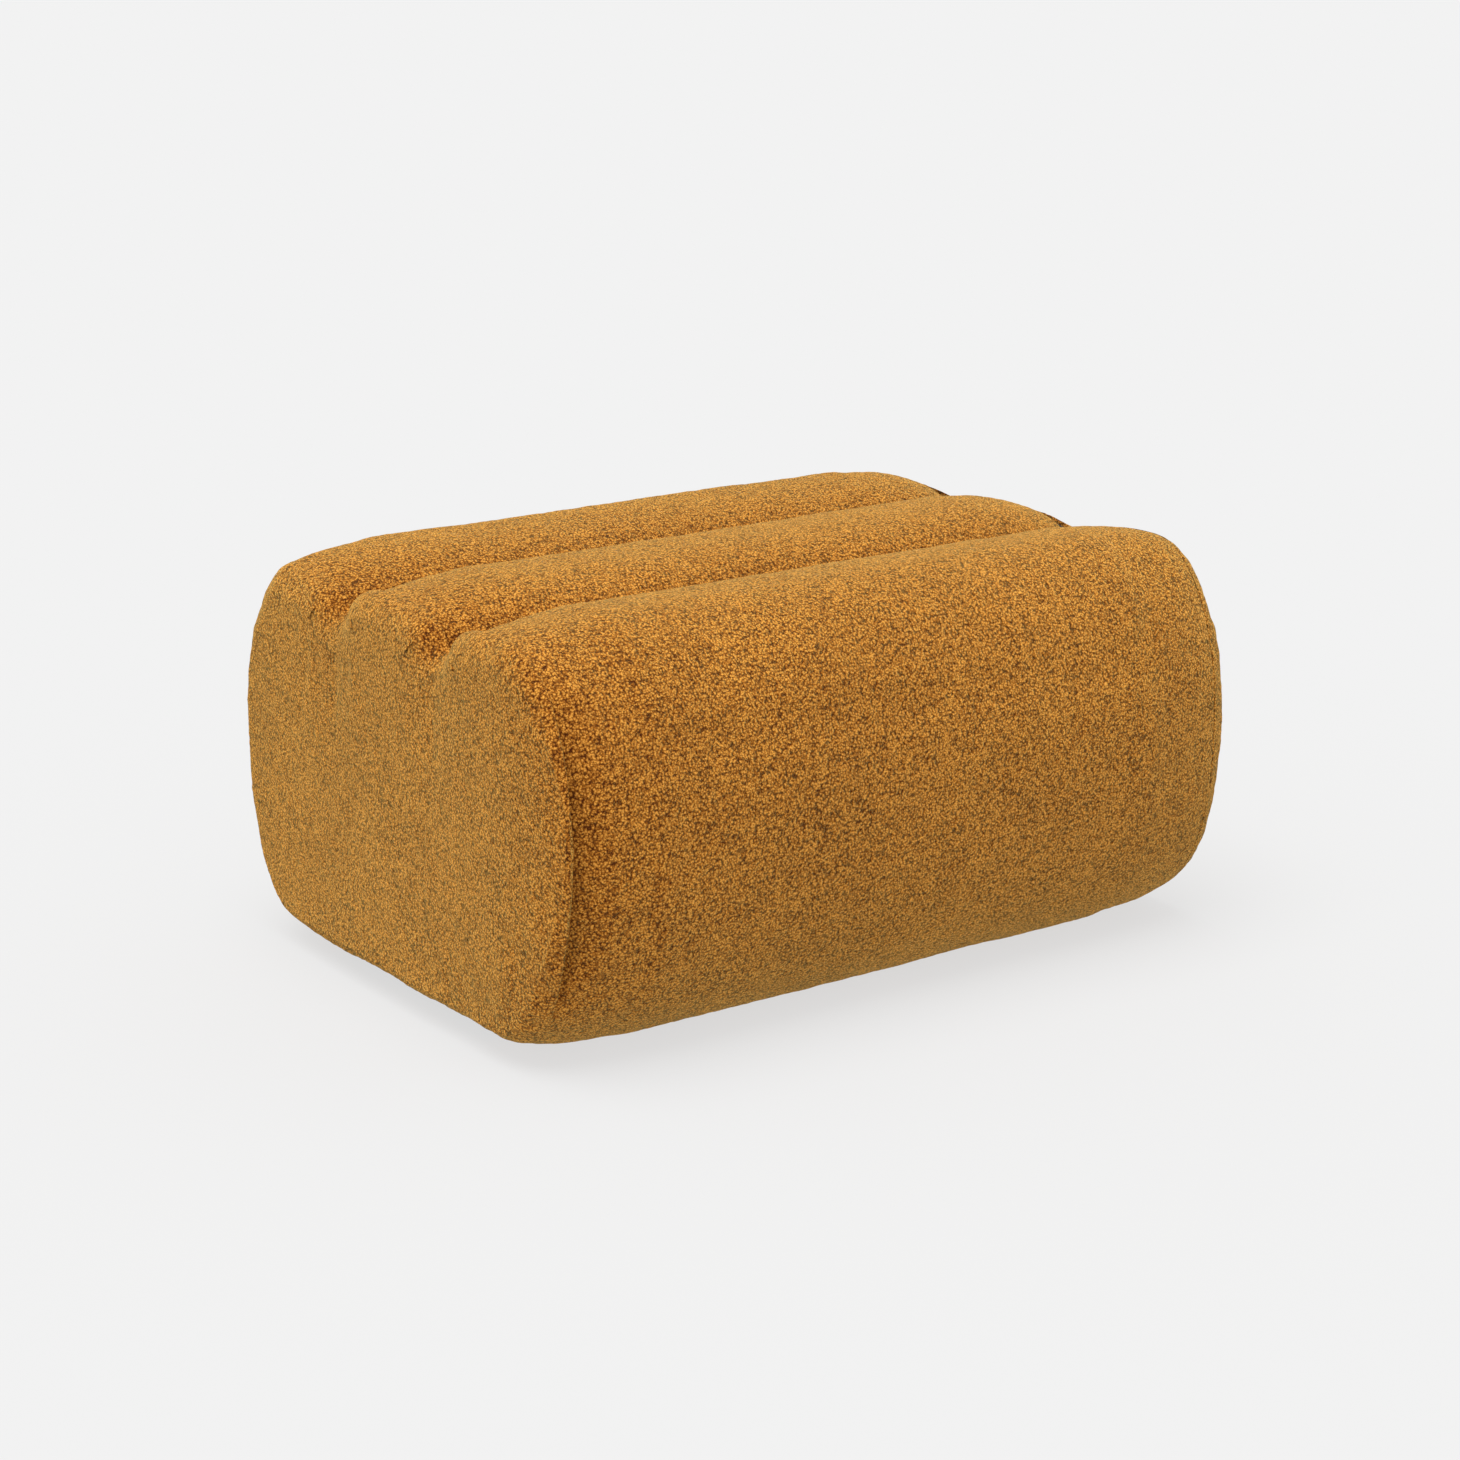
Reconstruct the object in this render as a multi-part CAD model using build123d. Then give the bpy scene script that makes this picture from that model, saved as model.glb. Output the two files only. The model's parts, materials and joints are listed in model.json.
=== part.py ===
from build123d import *
import os

# Storage ottoman: three padded rolls on a plywood carcass, with the middle
# and rear rolls on a rear-hinged lid over a lined bin.
# Millimetres. +X along the rolls, +Y towards the back, +Z up.
# Origin: on the floor under the middle of the body.

os.makedirs("parts", exist_ok=True)

# ---- Driving dimensions of the upholstered outline ----
LENGTH = 820.0
DEPTH = 624.0
HEIGHT = 415.0
GLIDE_H = 7.0  # gap between the floor and the underside of the body
ROLL_PITCH = 188.0
GROOVE_DEPTH = 86.0
GROOVE_HALF = 2.0  # half the width of a groove's narrow floor
BULGE_Z = 216.0  # height at which the front and back stand out furthest
BOTTOM_RUN = 125.0  # how far the lower corner curves in under the body
LOWER_FULLNESS = 0.645
UPPER_FULLNESS = 0.572
ROLL_FULLNESS = 0.668
SHOULDER = 124.0  # length of the rounding at each end of the rolls
SHOULDER_POWER = 1.9
END_DROP_TOP = 33.0  # how much the end face is lower than the rolls
END_DROP_SIDE = 32.0
END_DROP_BOTTOM = 24.0
SHOULDER_STATIONS = (0.0, 0.35, 0.6, 0.8, 0.92, 1.0)

# ---- Layers ----
COVER_T = 3.0
GAP = 0.3  # gap between a soft layer and its neighbour
SEAM_HALF_GAP = 0.2  # half the gap between two covers that meet in a seam
PLY_T = 12.0
RAIL_T = 22.0
LINING_T = 1.2
FACING_T = 2.2
LINING_HEM = 1.0  # how far the lining stays below the top of the carcass

# ---- Carcass ----
SEAM_X = 384.0  # plane of the sewn seam round each end panel
END_BOARD_IN = 385.5
END_BOARD_OUT = END_BOARD_IN + PLY_T
RAIL_BOTTOM = 22.0
RAIL_TOP = 57.0
RAIL_OUT = 176.0
FLOOR_TOP = RAIL_TOP + PLY_T
BOARD_OUT = 262.0  # outer face of the front and rear boards
FLOOR_REAR = 256.0
FACING_INSET = COVER_T + 2.5  # cheek facings, in from the body's outline
BOARD_INSET = COVER_T + 14.0  # end boards, in from the body's outline
# Each end plate is notched below a groove: heights, and half widths of a facing's notch there.
NOTCH_HEIGHTS = (315.5, 347.0, 370.0, 400.0, 420.0)
NOTCH_HALF_WIDTHS = (6.0, 17.0, 27.0, 46.0, 46.0)
WALL_FRONT = -97.0  # front face of the wall between front roll and bin
WALL_BACK = WALL_FRONT + PLY_T
RIB_X = (-130.0, 130.0)
FLANGE_IN = 150.0  # inner edge of the cover where it is tacked underneath

# ---- Lid and its hinges ----
PARTING_Z = 306.0
LID_COVER_BOTTOM = PARTING_Z + 0.7
CARCASS_TOP = PARTING_Z - 2.0
LID_HALF = 381.0
LID_FRONT = -ROLL_PITCH / 2 + GROOVE_HALF
LID_BOARD_BOTTOM = PARTING_Z + 2.0
LID_BOARD_TOP = LID_BOARD_BOTTOM + PLY_T
LID_BOARD_REAR = 277.0
LID_LINING_TOP = LID_BOARD_BOTTOM - 0.1
LID_LINING_REAR = 259.0
STRIP_HALF = 300.0  # half the length of the rubber strip under the lid's front edge
STRIP_INSET = 1.0  # how far the strip stays inside the front wall's two faces
STRIP_PROUD = 0.2  # how far the strip stands above the parting line
FOAM_SEAM_HALF = 0.5  # half the gap between the foams of the lid's two rolls
HINGE_Y = 294.0
HINGE_X = (-245.0, 245.0)
HINGE_LENGTH = 75.0
KNUCKLE_R = 4.5
PIN_R = 2.4
PIN_CLEARANCE = 0.05
PIN_PROUD = 1.0
KNUCKLE_GAP = 0.5
KNUCKLES = 5
NECK_START = 6.0  # the leaf's plate ends this far in front of the pin
NECK_OVERLAP = 0.5
LEAF_T = 1.8
LEAF_FRONT = 260.0
LEAF_OFFSET = 0.2  # half the gap between the closed leaves
HINGE_RAIL_BOTTOM = 264.0
HINGE_RAIL_OUT = 287.0
HINGE_RAIL_HALF = 350.0
RECESS_TIP = 8.0  # reach of the V-shaped recess in front of the hinge axis
RECESS_NECK = 6.0
RECESS_NECK_HALF = 7.0
RECESS_MOUTH = 18.0  # reach of the recess behind the hinge axis
RECESS_MOUTH_HALF = 22.0
RECESS_END_ROOM = 2.0
SCREW_Y = 270.0
SCREW_R = 1.8
SCREW_HEAD_R = 3.4
SCREW_HEAD_H = 1.6
SCREW_LENGTH = 11.0
SCREW_CLEARANCE = 0.05
SCREW_SPACING = 50.0

# ---- Glides ----
GLIDE_X = (-325.0, 0.0, 325.0)
GLIDE_Y = (-165.0, 165.0)
GLIDE_R = 17.0
GLIDE_STEM_R = 4.0
GLIDE_STEM_TOP = 38.0
GLIDE_CHAMFER = 1.5
GLIDE_TOP_GAP = 0.1  # between the disc and the body above it
STEM_CLEARANCE = 0.05
STEM_ROOM = 0.5  # round the stems in soft layers
STEM_OVERLAP = 0.5


def block(x0, x1, y0, y1, z0, z1):
    """A box between two corners."""
    centre = Pos((x0 + x1) / 2, (y0 + y1) / 2, (z0 + z1) / 2)
    return centre * Box(x1 - x0, y1 - y0, z1 - z0)


def bar(x0, x1, section):
    """A closed YZ outline carried from x0 to x1."""
    points = [(x0, y, z) for y, z in section]
    face = Face(Wire(Polyline(*points, close=True)))
    return extrude(face, amount=x1 - x0, dir=(1, 0, 0))


def rod(x0, x1, y, z, radius):
    """A cylinder along X."""
    disc = Plane((x0, y, z), x_dir=(0, 1, 0), z_dir=(1, 0, 0)) * Circle(radius)
    return extrude(disc, amount=x1 - x0, dir=(1, 0, 0))


def post(x, y, z0, z1, radius):
    """A cylinder along Z."""
    return Pos(x, y, (z0 + z1) / 2) * Cylinder(radius, z1 - z0)


def quarter(x, start, end, fullness, leaves_along_z):
    """A quarter of a superellipse, as one cubic curve, in a YZ plane."""
    y0, z0 = start
    y1, z1 = end
    if leaves_along_z:
        near = (x, y0, z0 + fullness * (z1 - z0))
        far = (x, y1 - fullness * (y1 - y0), z1)
    else:
        near = (x, y0 + fullness * (y1 - y0), z0)
        far = (x, y1, z1 - fullness * (z1 - z0))
    return Bezier((x, y0, z0), near, far, (x, y1, z1))


def section(x, inset, drop):
    """The body's outline at x, moved in by inset, and by the share drop of the end rounding."""
    bottom_y = DEPTH / 2 - BOTTOM_RUN
    bottom_z = GLIDE_H + inset + drop * END_DROP_BOTTOM
    side_y = DEPTH / 2 - inset - drop * END_DROP_SIDE
    top_z = HEIGHT - inset - drop * END_DROP_TOP
    groove_z = HEIGHT - GROOVE_DEPTH - inset
    outer = ROLL_PITCH / 2 + GROOVE_HALF + inset
    inner = ROLL_PITCH / 2 - GROOVE_HALF - inset
    edges = [Line((x, bottom_y, bottom_z), (x, -bottom_y, bottom_z))]
    for side in (-1, 1):
        low = (side * bottom_y, bottom_z)
        bulge = (side * side_y, BULGE_Z)
        crown = (side * ROLL_PITCH, top_z)
        groove_out = (side * outer, groove_z)
        groove_in = (side * inner, groove_z)
        edges.append(quarter(x, low, bulge, LOWER_FULLNESS, False))
        edges.append(quarter(x, bulge, crown, UPPER_FULLNESS, True))
        edges.append(quarter(x, crown, groove_out, ROLL_FULLNESS, False))
        edges.append(Line((x, *groove_out), (x, *groove_in)))
        edges.append(quarter(x, groove_in, (0, top_z), ROLL_FULLNESS, True))
    return Face(Wire(edges))


def end_drop(share):
    """How much of the end rounding is reached at a share of the shoulder's length."""
    return 1 - (1 - share**SHOULDER_POWER) ** (1 / SHOULDER_POWER)


def envelope(inset):
    """The whole upholstered body, moved in by inset."""
    start = LENGTH / 2 - SHOULDER
    run = SHOULDER - inset
    right = [(start + run * share, end_drop(share)) for share in SHOULDER_STATIONS]
    left = [(-x, drop) for x, drop in reversed(right)]
    return loft([section(x, inset, drop) for x, drop in left + right], ruled=True)


def notch(x0, x1, groove_y, inset):
    """The wedge cut out of an end plate below one groove, where the foam rounds off."""
    half_widths = [width + inset - FACING_INSET for width in NOTCH_HALF_WIDTHS]
    profile = list(zip(half_widths, NOTCH_HEIGHTS))
    outline = [(groove_y - width, z) for width, z in profile]
    outline += [(groove_y + width, z) for width, z in reversed(profile)]
    return bar(x0 - 1, x1 + 1, outline)


def end_plate(x0, x1, inset):
    """A flat plate with the three-lobed outline of the body at its outer end."""
    share = (x1 - (LENGTH / 2 - SHOULDER)) / SHOULDER
    plate = extrude(section(x0, inset, end_drop(share)), amount=x1 - x0, dir=(1, 0, 0))
    for groove_y in (-ROLL_PITCH / 2, ROLL_PITCH / 2):
        plate -= notch(x0, x1, groove_y, inset)
    return plate


def left_and_right(name, shape):
    """Write a right-hand shape and its mirror image."""
    save(shape, name + "_right")
    save(mirror(shape, about=Plane.YZ), name + "_left")


def save(shape, node):
    """Write one node as a single solid, and print how many solids the shape has."""
    solids = shape.solids()
    print(node, len(solids))
    export_step(solids[0] if len(solids) == 1 else shape, "parts/" + node + ".step")


OUTSIDE = envelope(0)
INSIDE = envelope(COVER_T)
FOAM_LIMIT = envelope(COVER_T + GAP)
SKIN = OUTSIDE - INSIDE

# The V-shaped recess along the back in which the hinge knuckles sit.
HINGE_RECESS = bar(
    -LID_HALF - RECESS_END_ROOM,
    LID_HALF + RECESS_END_ROOM,
    [
        (HINGE_Y - RECESS_TIP, PARTING_Z),
        (HINGE_Y - RECESS_NECK, PARTING_Z + RECESS_NECK_HALF),
        (HINGE_Y + RECESS_MOUTH, PARTING_Z + RECESS_MOUTH_HALF),
        (HINGE_Y + RECESS_MOUTH, PARTING_Z - RECESS_MOUTH_HALF),
        (HINGE_Y - RECESS_NECK, PARTING_Z - RECESS_NECK_HALF),
    ],
)


def glide_holes(radius):
    """The stems of all glides, as one cutting shape."""
    stems = [post(x, y, 0, GLIDE_STEM_TOP, radius) for x in GLIDE_X for y in GLIDE_Y]
    return Compound(children=stems)


# ---- Carcass ----


def carcass():
    """Boards and rails of the fixed box."""
    board = end_plate(END_BOARD_IN, END_BOARD_OUT, BOARD_INSET)
    left_and_right("end_board", board)
    stem_holes = glide_holes(GLIDE_STEM_R + STEM_CLEARANCE)
    long_x = END_BOARD_IN
    for side, name in ((-1, "front_rail"), (1, "rear_rail")):
        y0, y1 = sorted((side * RAIL_OUT, side * (RAIL_OUT - RAIL_T)))
        save(block(-long_x, long_x, y0, y1, RAIL_BOTTOM, RAIL_TOP) - stem_holes, name)
    cross_y = RAIL_OUT - RAIL_T
    side_rail = block(long_x - RAIL_T, long_x, -cross_y, cross_y, RAIL_BOTTOM, RAIL_TOP)
    left_and_right("side_rail", side_rail)
    for index, x in enumerate(RIB_X, 1):
        x0, x1 = x - RAIL_T / 2, x + RAIL_T / 2
        cross = block(x0, x1, -cross_y, cross_y, RAIL_BOTTOM, RAIL_TOP)
        save(cross, f"cross_rail_{index}")
        x0, x1 = x - PLY_T / 2, x + PLY_T / 2
        deck_z = CARCASS_TOP - PLY_T
        rib = block(x0, x1, -BOARD_OUT + PLY_T, WALL_FRONT, FLOOR_TOP, deck_z)
        rib += block(x0, x1, -RAIL_OUT, WALL_FRONT, RAIL_TOP, FLOOR_TOP)
        save(rib, f"front_rib_{index}")
    floor = block(-long_x, long_x, WALL_FRONT, FLOOR_REAR, RAIL_TOP, FLOOR_TOP)
    save(floor, "bin_floor")
    wall = block(-long_x, long_x, WALL_FRONT, WALL_BACK, FLOOR_TOP, CARCASS_TOP)
    save(wall, "bin_front_wall")
    inner = BOARD_OUT - PLY_T
    for y0, name in ((-BOARD_OUT, "front_board"), (inner, "rear_board")):
        save(block(-long_x, long_x, y0, y0 + PLY_T, FLOOR_TOP, CARCASS_TOP), name)
    deck_bottom = CARCASS_TOP - PLY_T
    save(block(-long_x, long_x, -inner, WALL_FRONT, deck_bottom, CARCASS_TOP), "front_deck")
    hinge_rail = block(
        -HINGE_RAIL_HALF,
        HINGE_RAIL_HALF,
        BOARD_OUT,
        HINGE_RAIL_OUT,
        HINGE_RAIL_BOTTOM,
        CARCASS_TOP,
    )
    save(hinge_rail - screw_holes(-1), "hinge_rail")


# ---- Foam and other padding ----


def padding():
    """Foam on the fixed box, and the pad under its rails."""
    half = END_BOARD_IN - GAP
    roll_y = LID_FRONT - 2 * GROOVE_HALF - COVER_T - GAP
    front_top = block(-half, half, -DEPTH / 2, roll_y, CARCASS_TOP + GAP, HEIGHT)
    save(FOAM_LIMIT & front_top, "front_roll_foam")
    outer = BOARD_OUT + GAP
    front_face = block(-half, half, -DEPTH / 2, -outer, FLOOR_TOP, CARCASS_TOP)
    save(FOAM_LIMIT & front_face, "front_face_foam")
    lower_rear = block(-half, half, outer, DEPTH / 2, FLOOR_TOP, HINGE_RAIL_BOTTOM - GAP)
    save(FOAM_LIMIT & lower_rear, "rear_face_foam")
    upper_rear = block(-half, half, outer, DEPTH / 2, HINGE_RAIL_BOTTOM, CARCASS_TOP)
    rail_half = HINGE_RAIL_HALF + GAP
    rail_y = HINGE_RAIL_OUT + GAP
    rail_room = block(-rail_half, rail_half, 0, rail_y, 0, HEIGHT)
    save((FOAM_LIMIT & upper_rear) - rail_room - HINGE_RECESS, "rear_top_foam")
    floor_y = FLOOR_REAR + GAP
    floor_room = block(-half, half, WALL_FRONT, floor_y, RAIL_TOP - GAP, FLOOR_TOP)
    for side, name in ((-1, "front_corner_foam"), (1, "rear_corner_foam")):
        y0, y1 = sorted((side * (RAIL_OUT + GAP), side * DEPTH / 2))
        corner = block(-half, half, y0, y1, GLIDE_H, FLOOR_TOP - GAP)
        corner -= floor_room
        save(FOAM_LIMIT & corner, name)
    under = block(-half, half, -RAIL_OUT, RAIL_OUT, GLIDE_H, RAIL_BOTTOM - GAP)
    save((FOAM_LIMIT & under) - glide_holes(GLIDE_STEM_R + STEM_ROOM), "base_pad")
    end_zone = block(END_BOARD_IN, LENGTH / 2, -DEPTH / 2, DEPTH / 2, 0, HEIGHT)
    board_room = end_plate(END_BOARD_IN - GAP, END_BOARD_OUT + GAP, BOARD_INSET - GAP)
    left_and_right("end_pad", (FOAM_LIMIT & end_zone) - board_room)


# ---- Covers and linings ----


def covers():
    """Fabric of the fixed box."""
    half = SEAM_X - SEAM_HALF_GAP
    front_y = LID_FRONT - 2 * GROOVE_HALF
    deck_z = CARCASS_TOP - PLY_T
    roll = SKIN & block(-half, half, -DEPTH / 2, front_y, deck_z, HEIGHT)
    face = SKIN & block(-half, half, -DEPTH / 2, -FLANGE_IN, GLIDE_H, deck_z)
    turn_down = block(-half, half, front_y - COVER_T, front_y, CARCASS_TOP + GAP, HEIGHT)
    stem_room = glide_holes(GLIDE_STEM_R + STEM_ROOM)
    front = roll + face + (INSIDE & turn_down)
    save(front - stem_room, "front_cover")
    back = SKIN & block(-half, half, FLANGE_IN, DEPTH / 2, GLIDE_H, CARCASS_TOP)
    save(back - HINGE_RECESS - stem_room, "rear_cover")
    end_x = SEAM_X + SEAM_HALF_GAP
    end_zone = block(end_x, LENGTH / 2, -DEPTH / 2, DEPTH / 2, 0, HEIGHT)
    left_and_right("end_cover", SKIN & end_zone)
    facing_out = END_BOARD_IN - GAP
    facing_plate = end_plate(facing_out - FACING_T, facing_out, FACING_INSET)
    facing_zone = block(0, LENGTH / 2, LID_FRONT, DEPTH / 2, CARCASS_TOP + GAP, HEIGHT)
    left_and_right("cheek_facing", facing_plate & facing_zone)


def linings():
    """The bin's lining and the black cloth underneath."""
    x = END_BOARD_IN - GAP
    y0 = WALL_BACK + GAP
    y1 = BOARD_OUT - PLY_T - GAP
    z0 = FLOOR_TOP + GAP
    outer = block(-x, x, y0, y1, z0, CARCASS_TOP - LINING_HEM)
    t = LINING_T
    hollow = block(-x + t, x - t, y0 + t, y1 - t, z0 + t, CARCASS_TOP)
    save(outer - hollow, "bin_lining")
    cloth_x = SEAM_X - SEAM_HALF_GAP
    cloth_y = FLANGE_IN - GAP
    cloth = SKIN & block(-cloth_x, cloth_x, -cloth_y, cloth_y, GLIDE_H, RAIL_BOTTOM)
    save(cloth, "dust_cover")


def rest_strip():
    """The rubber strip that the lid's front edge lands on."""
    y0 = WALL_FRONT + STRIP_INSET
    y1 = WALL_BACK - STRIP_INSET
    strip = block(-STRIP_HALF, STRIP_HALF, y0, y1, CARCASS_TOP, PARTING_Z + STRIP_PROUD)
    save(strip, "lid_rest_strip")


def glides():
    """Plastic glides, each with a stem up into a rail."""
    places = [(x, y) for y in GLIDE_Y for x in GLIDE_X]
    for index, (x, y) in enumerate(places, 1):
        disc_top = GLIDE_H - GLIDE_TOP_GAP
        disc = post(x, y, 0, disc_top, GLIDE_R)
        disc = chamfer(disc.edges().group_by(Axis.Z)[0], GLIDE_CHAMFER)
        stem = post(x, y, disc_top - STEM_OVERLAP, GLIDE_STEM_TOP - 1, GLIDE_STEM_R)
        save(disc + stem, f"glide_{index}")


# ---- Hinges ----


def screw_places(hinge_x):
    """X of the screws of one hinge leaf."""
    return [hinge_x - SCREW_SPACING / 2, hinge_x + SCREW_SPACING / 2]


def screw(x, side, clearance=0.0):
    """A countersunk screw, its head flush with the inner face of its leaf."""
    face = PARTING_Z + side * LEAF_OFFSET
    head = Cone(SCREW_R + clearance, SCREW_HEAD_R + clearance, SCREW_HEAD_H)
    shank = Pos(0, 0, -SCREW_LENGTH / 2) * Cylinder(SCREW_R + clearance, SCREW_LENGTH)
    body = Pos(0, 0, -SCREW_HEAD_H / 2) * head + shank
    turn = Rot(0, 0, 0) if side < 0 else Rot(180, 0, 0)
    return Pos(x, SCREW_Y, face) * turn * body


def screw_holes(side):
    """Holes for all screws that go down (side -1) or up (side 1) from the leaves."""
    places = [x for hinge_x in HINGE_X for x in screw_places(hinge_x)]
    return Compound(children=[screw(x, side, SCREW_CLEARANCE) for x in places])


def leaf(hinge_x, side, knuckles):
    """One hinge leaf: side -1 lies on the carcass, side 1 is under the lid."""
    x0 = hinge_x - HINGE_LENGTH / 2
    near = PARTING_Z + side * LEAF_OFFSET
    z0, z1 = sorted((near, near + side * LEAF_T))
    neck_y = HINGE_Y - NECK_START
    plate = block(x0, x0 + HINGE_LENGTH, LEAF_FRONT, neck_y, z0, z1)
    step = HINGE_LENGTH / KNUCKLES
    for index in knuckles:
        start = x0 + index * step + KNUCKLE_GAP / 2
        end = start + step - KNUCKLE_GAP
        plate += block(start, end, neck_y - NECK_OVERLAP, HINGE_Y, z0, z1)
        plate += rod(start, end, HINGE_Y, PARTING_Z, KNUCKLE_R)
    bore = rod(x0 - 1, x0 + HINGE_LENGTH + 1, HINGE_Y, PARTING_Z, PIN_R + PIN_CLEARANCE)
    holes = [screw(x, side, SCREW_CLEARANCE) for x in screw_places(hinge_x)]
    return plate - bore - Compound(children=holes)


def hinges():
    """Two butt hinges with their pins and screws."""
    for hinge_x, hand in zip(HINGE_X, ("left", "right")):
        save(leaf(hinge_x, -1, (0, 2, 4)), f"hinge_base_leaf_{hand}")
        save(leaf(hinge_x, 1, (1, 3)), f"hinge_lid_leaf_{hand}")
        half = HINGE_LENGTH / 2 + PIN_PROUD
        pin = rod(hinge_x - half, hinge_x + half, HINGE_Y, PARTING_Z, PIN_R)
        save(pin, f"hinge_pin_{hand}")
        for index, x in enumerate(screw_places(hinge_x), 1):
            for side, name in ((-1, "base"), (1, "lid")):
                save(screw(x, side), f"{name}_screw_{hand}_{index}")


# ---- Lid ----


def lid():
    """The lid: board, the foam of two rolls, cover and lining."""
    front_in = LID_FRONT + COVER_T + GAP
    half_in = LID_HALF - COVER_T - GAP
    board = block(-half_in, half_in, front_in, LID_BOARD_REAR, LID_BOARD_BOTTOM, LID_BOARD_TOP)
    save(board - HINGE_RECESS - screw_holes(1), "lid_board")
    foam_z = LID_BOARD_TOP + GAP
    groove_y = ROLL_PITCH / 2
    spans = (
        ("lid_foam_middle", front_in, groove_y - FOAM_SEAM_HALF),
        ("lid_foam_rear", groove_y + FOAM_SEAM_HALF, DEPTH / 2),
    )
    for name, y0, y1 in spans:
        foam = FOAM_LIMIT & block(-half_in, half_in, y0, y1, foam_z, HEIGHT)
        save(foam - HINGE_RECESS, name)
    half = LID_HALF
    whole = OUTSIDE & block(-half, half, LID_FRONT, DEPTH / 2, LID_COVER_BOTTOM, HEIGHT)
    half -= COVER_T
    room = INSIDE & block(-half, half, LID_FRONT + COVER_T, DEPTH / 2, 0, HEIGHT)
    save(whole - room - HINGE_RECESS, "lid_cover")
    lining_z = LID_LINING_TOP - LINING_T
    lining = block(-half_in, half_in, front_in, LID_LINING_REAR, lining_z, LID_LINING_TOP)
    save(lining, "lid_lining")


carcass()
padding()
covers()
linings()
rest_strip()
glides()
hinges()
lid()
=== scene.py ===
import json
import math

import bpy
import numpy as np
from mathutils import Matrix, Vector
from mathutils.bvhtree import BVHTree
from mathutils.geometry import delaunay_2d_cdt


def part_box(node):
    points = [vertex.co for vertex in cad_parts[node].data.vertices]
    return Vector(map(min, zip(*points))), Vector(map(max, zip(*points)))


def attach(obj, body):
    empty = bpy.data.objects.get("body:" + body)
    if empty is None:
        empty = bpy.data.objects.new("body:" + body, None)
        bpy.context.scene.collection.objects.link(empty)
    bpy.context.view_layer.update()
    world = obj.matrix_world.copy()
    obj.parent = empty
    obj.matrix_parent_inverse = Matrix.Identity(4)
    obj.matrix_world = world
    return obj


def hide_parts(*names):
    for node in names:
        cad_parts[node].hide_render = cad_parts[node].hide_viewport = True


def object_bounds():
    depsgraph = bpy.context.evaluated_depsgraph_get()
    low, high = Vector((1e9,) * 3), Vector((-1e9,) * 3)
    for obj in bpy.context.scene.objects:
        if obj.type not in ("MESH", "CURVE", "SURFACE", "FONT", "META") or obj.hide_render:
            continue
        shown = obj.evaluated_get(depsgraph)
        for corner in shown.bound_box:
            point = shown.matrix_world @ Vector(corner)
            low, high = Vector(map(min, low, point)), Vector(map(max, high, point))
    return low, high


# Looks of the storage ottoman: boucle covers over foam, lining, wood and steel.
# Metres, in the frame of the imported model: +X along the rolls, +Y to the back, +Z up.

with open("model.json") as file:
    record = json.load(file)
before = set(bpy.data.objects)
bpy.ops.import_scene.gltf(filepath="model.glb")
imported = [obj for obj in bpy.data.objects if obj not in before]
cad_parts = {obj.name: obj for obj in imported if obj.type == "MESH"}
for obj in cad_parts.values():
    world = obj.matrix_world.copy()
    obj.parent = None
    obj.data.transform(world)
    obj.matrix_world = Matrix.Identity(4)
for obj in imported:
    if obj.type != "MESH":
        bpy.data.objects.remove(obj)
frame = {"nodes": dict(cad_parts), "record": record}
cad_low, cad_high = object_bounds()

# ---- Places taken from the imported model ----
LENGTH = cad_high.x - cad_low.x
DEPTH = cad_high.y - cad_low.y
HEIGHT = cad_high.z
front_low, front_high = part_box("front_cover")
lid_low, lid_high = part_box("lid_cover")
lining_low, lining_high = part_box("bin_lining")
lid_lining_low, lid_lining_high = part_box("lid_lining")
facing_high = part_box("cheek_facing_right")[1]
wall_low, wall_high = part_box("bin_front_wall")
rail_low, rail_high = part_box("hinge_rail")
board_low, board_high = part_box("lid_board")
dust_low, dust_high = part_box("dust_cover")
HINGE = Vector(frame["record"]["behaviour"]["joints"][0]["pos_m"])
UNDERSIDE = front_low.z

# ---- The outline of the upholstery ----
GROOVE_Y = 0.0944  # the two grooves lie this far from the middle
GROOVE_GAP = 0.0020  # half the width of a groove's floor
GROOVE_Z = HEIGHT - 0.0876
CROWN_Y = 0.1990  # crests of the front and rear rolls
TOP_FRONT = HEIGHT
TOP_MIDDLE = HEIGHT - 0.0013
TOP_REAR = HEIGHT - 0.0050
BULGE_Z = 0.2150  # height at which the front and back stand out furthest
BOTTOM_RUN = 0.1247  # how far the lower corner curves in under the body
UPPER_POWER = 2.09
LOWER_POWER = 2.32
ROLL_POWER = 2.53
BEHIND_FRONT_ROLL = (-0.100, -0.088)  # along Y, where rear_top takes over from top
LOW_FRONT = (0.09, 0.24)  # heights over which the front's extra rounding fades out
BULGE_BLEND = 0.03  # half the height over which top takes over from bottom
FOLD_DEPTH = 0.0030  # of the folds that run down an end panel from the grooves
FOLD_WIDTH = 0.014
FOLD_SPREAD = 0.02  # what a fold's width gains on its way down
LEAN_FROM, LEAN_RUN, LEAN_POWER = 0.08, 0.225, 4  # where and how fast a panel leans in

# ---- Seams ----
LID_HALF = lid_high.x + 0.0024  # the lid's cover ends here
LIP_X = front_high.x + 0.0001  # the end covers begin here
COVER_HALF = LIP_X - 0.0003  # and the front and rear covers end here
FACING_X = facing_high.x - 0.0006  # the linings of the cheeks lie here
SEAM_TUCK = 0.0070  # how deep a cover's edge turns into a seam
SEAM_EDGE = 0.0005  # radius with which a cover turns into a seam
RIM_EDGE = 0.0032  # the same at the front of the left end, where the rim stands proud
RIM_TUCK = 0.0280  # and how deep the end cover turns in there
SEAM_DIP = 0.0003  # how far a cover dips along an end seam
GATHER = 0.0001  # height of the gathers along the end seams
ROLL_GATHER = 0.0005  # what a roll has more beside the left rim
RIM_GATHER = 0.0004  # and what the rim itself has more
CORNER_RADIUS = 0.0002  # between a section and the end's flat face, where nothing is rounded
RIM_RISE = (0.035, 0.125)  # heights over which the rim's deep seam sets in
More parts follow.
